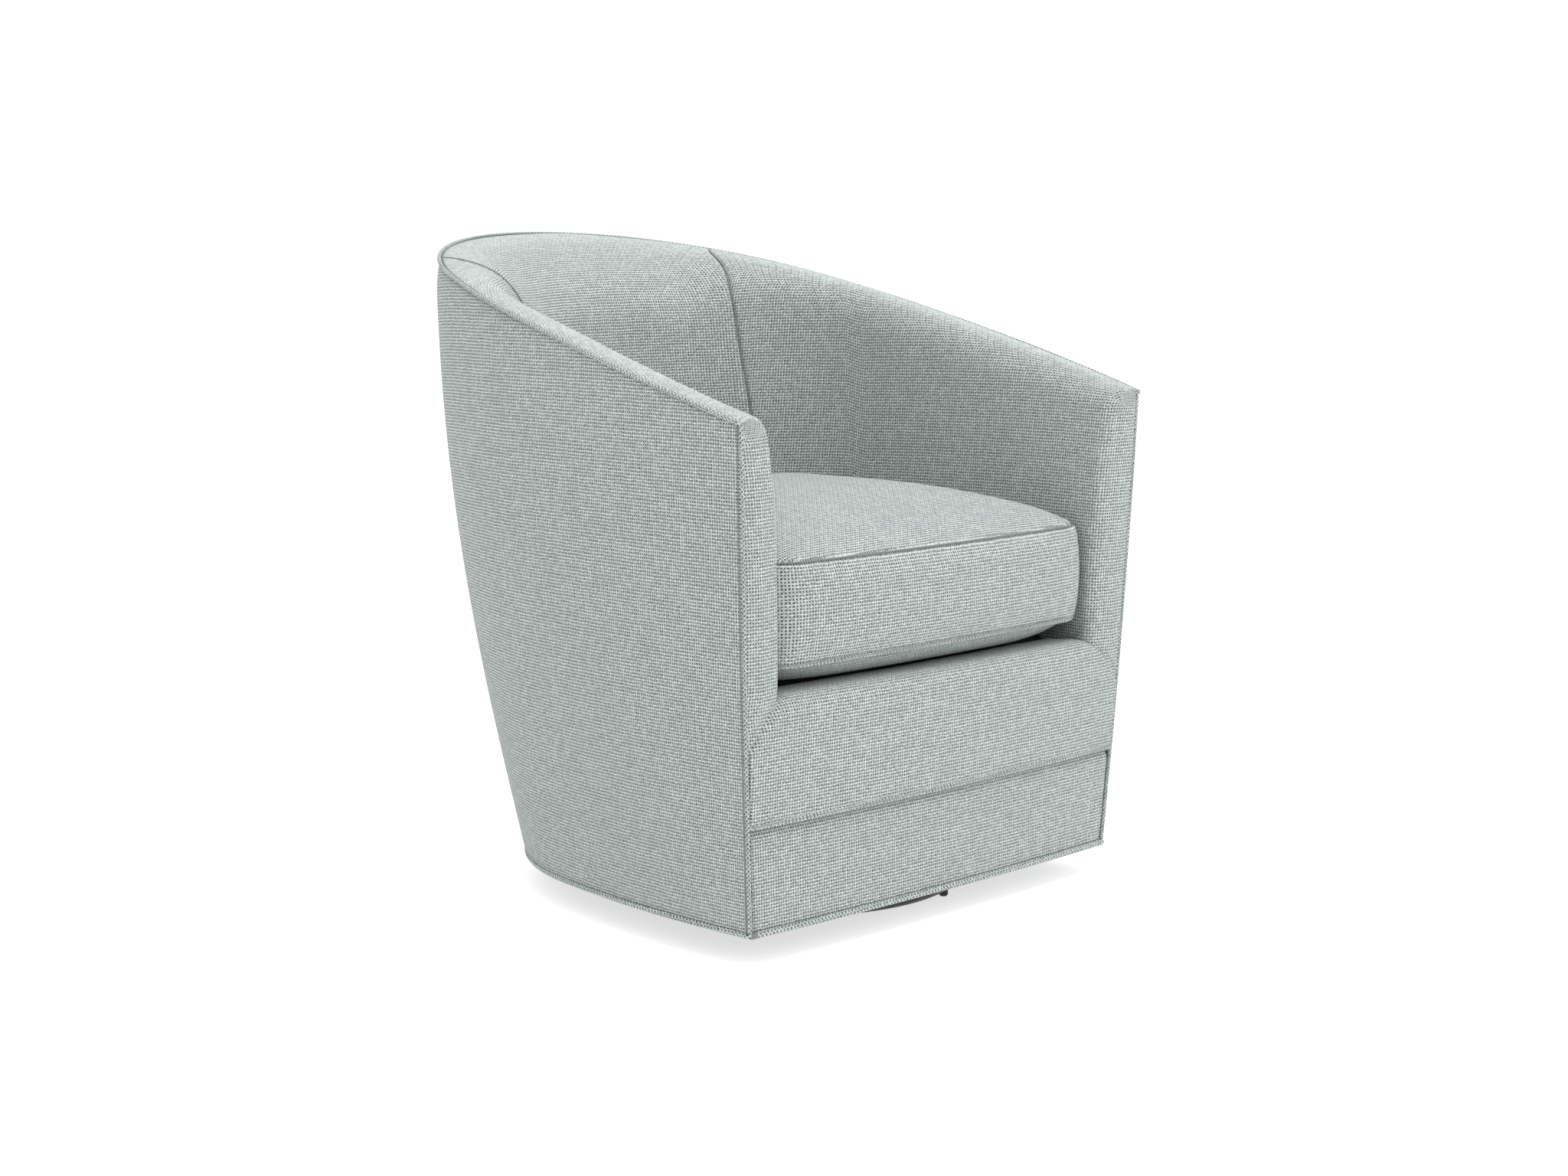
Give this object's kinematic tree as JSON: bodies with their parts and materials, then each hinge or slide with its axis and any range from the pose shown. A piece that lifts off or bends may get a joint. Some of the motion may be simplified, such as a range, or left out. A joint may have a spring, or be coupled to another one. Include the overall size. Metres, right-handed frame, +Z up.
{
  "type": "swivel chair",
  "caption": "Upholstered barrel swivel armchair with a sloping tub back, a loose crowned seat cushion and a low round steel base.",
  "frame": {"origin": "on the floor, under the middle of the chair's outline", "axes": "+Z up; the seat faces -Y; +X is to the right when looking at the chair from behind it towards +Y, that is along +Y from its front"},
  "size_m": [0.6846, 0.7521, 0.783],
  "materials": {
    "slub_fabric": "matte",
    "foam": "matte",
    "deck_cloth": "matte",
    "webbing": "matte",
    "dust_cloth": "matte",
    "hardwood": "matte",
    "plywood": "matte",
    "fibreboard": "matte",
    "black_steel": "satin",
    "zinc_steel": "satin",
    "cage_plastic": "matte",
    "glide_plastic": "satin",
    "zip_plastic": "satin"
  },
  "bodies": {
    "base": {"base_ring": "black_steel", "base_cross": "black_steel", "swivel_lower_plate": "zinc_steel", "lower_plate_bolts": "zinc_steel", "lower_plate_nuts": "zinc_steel", "pivot_rivet": "zinc_steel", "floor_glides": "glide_plastic"},
    "bearing_cage": {"ball_cage": "cage_plastic", "bearing_balls": "zinc_steel"},
    "chair": {"swivel_upper_plate": "zinc_steel", "upper_plate_bolts": "zinc_steel", "t_nuts": "zinc_steel", "bottom_board": "plywood", "front_lower_rail": "hardwood", "front_seat_rail": "hardwood", "left_front_post": "hardwood", "right_front_post": "hardwood", "left_back_post": "hardwood", "right_back_post": "hardwood", "centre_back_post": "hardwood", "centre_back_foot": "hardwood", "left_side_rail": "hardwood", "right_side_rail": "hardwood", "rear_seat_rail": "hardwood", "left_arm_rail": "hardwood", "right_arm_rail": "hardwood", "back_top_rail": "hardwood", "corner_blocks": "hardwood", "rail_screws": "zinc_steel", "seat_straps_lengthwise": "webbing", "seat_straps_crosswise": "webbing", "deck_pad": "deck_cloth", "outer_panel": "fibreboard", "outside_cover": "slub_fabric", "inside_back_pad": "slub_fabric", "left_inside_arm_pad": "slub_fabric", "right_inside_arm_pad": "slub_fabric", "front_rail_pad": "slub_fabric", "kick_panel": "slub_fabric", "dust_cover": "dust_cloth", "top_welt": "slub_fabric", "left_front_welt": "slub_fabric", "right_front_welt": "slub_fabric", "bottom_welt": "slub_fabric", "rail_welt": "slub_fabric"},
    "cushion": {"cushion_core": "foam", "cushion_top_panel": "slub_fabric", "cushion_bottom_panel": "slub_fabric", "cushion_boxing": "slub_fabric", "cushion_zip": "zip_plastic"}
  },
  "joints": [
    {"name": "swivel", "type": "hinge", "parent": "base", "child": "chair", "pos_m": [0, -0.113, 0.0366], "axis": [0, 0, 1], "continuous": true},
    {"name": "cage_turn", "type": "hinge", "parent": "base", "child": "bearing_cage", "pos_m": [0, -0.113, 0.033], "axis": [0, 0, 1], "continuous": true},
    {"name": "cushion_lift", "type": "slide", "parent": "chair", "child": "cushion", "axis": [0, 0, 1], "range_m": [0, 0.35]}
  ],
  "couplings": [
    {"joint": "cage_turn", "follows": "swivel", "ratio": 0.5}
  ]
}
